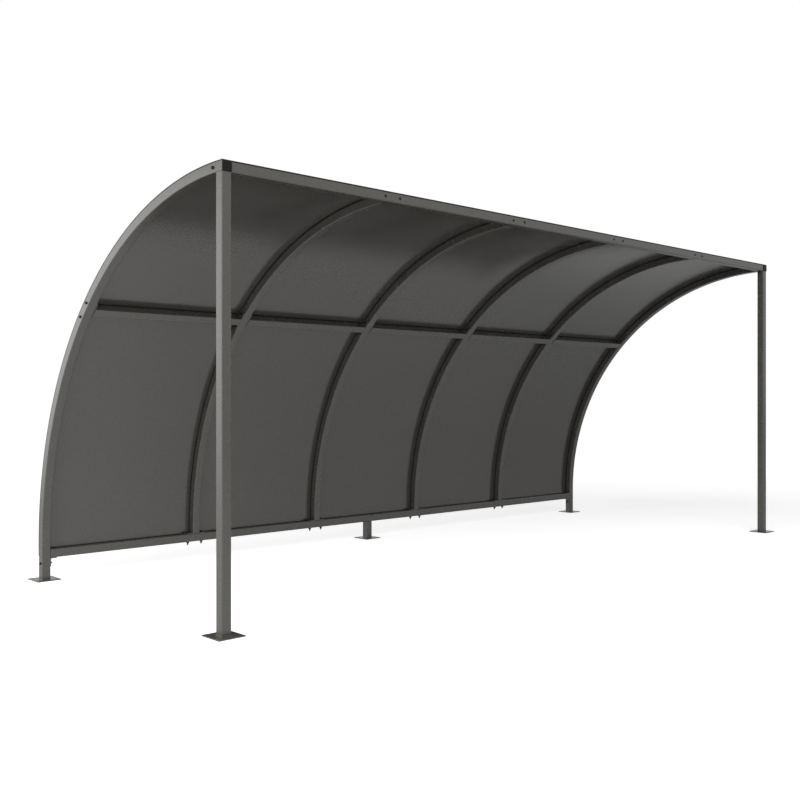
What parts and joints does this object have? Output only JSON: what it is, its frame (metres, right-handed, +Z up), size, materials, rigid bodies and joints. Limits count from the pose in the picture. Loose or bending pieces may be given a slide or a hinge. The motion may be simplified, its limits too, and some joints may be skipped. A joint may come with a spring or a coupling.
{
  "type": "curved bike shelter",
  "caption": "Open-front bike shelter: square-tube frame with curved sheets that sweep from the low rear rail up and over as the roof, on bolted base plates.",
  "frame": {"origin": "on the ground below the middle of the shelter, half way between the centre lines of the front posts and the rear feet", "axes": "+X along the shelter to the right seen from the open front, +Y from the open front to the back, +Z up"},
  "size_m": [5.14, 2.018, 2.11],
  "materials": {
    "powder_coated_steel": "anthracite grey powder coat, fine satin texture",
    "coated_sheet_steel": "anthracite grey coated sheet, smooth satin",
    "black_plastic": "black moulded polyethylene"
  },
  "bodies": {
    "root": {"front_post_left": "powder_coated_steel", "front_base_plate_left": "powder_coated_steel", "end_rib_left": "powder_coated_steel", "rear_base_plate_left": "powder_coated_steel", "rail_bracket_left": "powder_coated_steel", "beam_bracket_left": "powder_coated_steel", "rib_cap_left": "black_plastic", "front_post_right": "powder_coated_steel", "front_base_plate_right": "powder_coated_steel", "end_rib_right": "powder_coated_steel", "rear_base_plate_right": "powder_coated_steel", "rail_bracket_right": "powder_coated_steel", "beam_bracket_right": "powder_coated_steel", "rib_cap_right": "black_plastic", "front_beam": "powder_coated_steel", "bottom_rail": "powder_coated_steel", "middle_foot": "powder_coated_steel", "rear_base_plate_middle": "powder_coated_steel", "rib_1": "powder_coated_steel", "rib_2": "powder_coated_steel", "rib_3": "powder_coated_steel", "rib_4": "powder_coated_steel", "purlin_1": "powder_coated_steel", "purlin_2": "powder_coated_steel", "purlin_3": "powder_coated_steel", "purlin_4": "powder_coated_steel", "purlin_5": "powder_coated_steel", "back_sheet_1": "coated_sheet_steel", "back_sheet_2": "coated_sheet_steel", "back_sheet_3": "coated_sheet_steel", "back_sheet_4": "coated_sheet_steel", "back_sheet_5": "coated_sheet_steel", "roof_sheet_1": "coated_sheet_steel", "roof_sheet_2": "coated_sheet_steel", "roof_sheet_3": "coated_sheet_steel", "roof_sheet_4": "coated_sheet_steel", "roof_sheet_5": "coated_sheet_steel"}
  },
  "joints": []
}
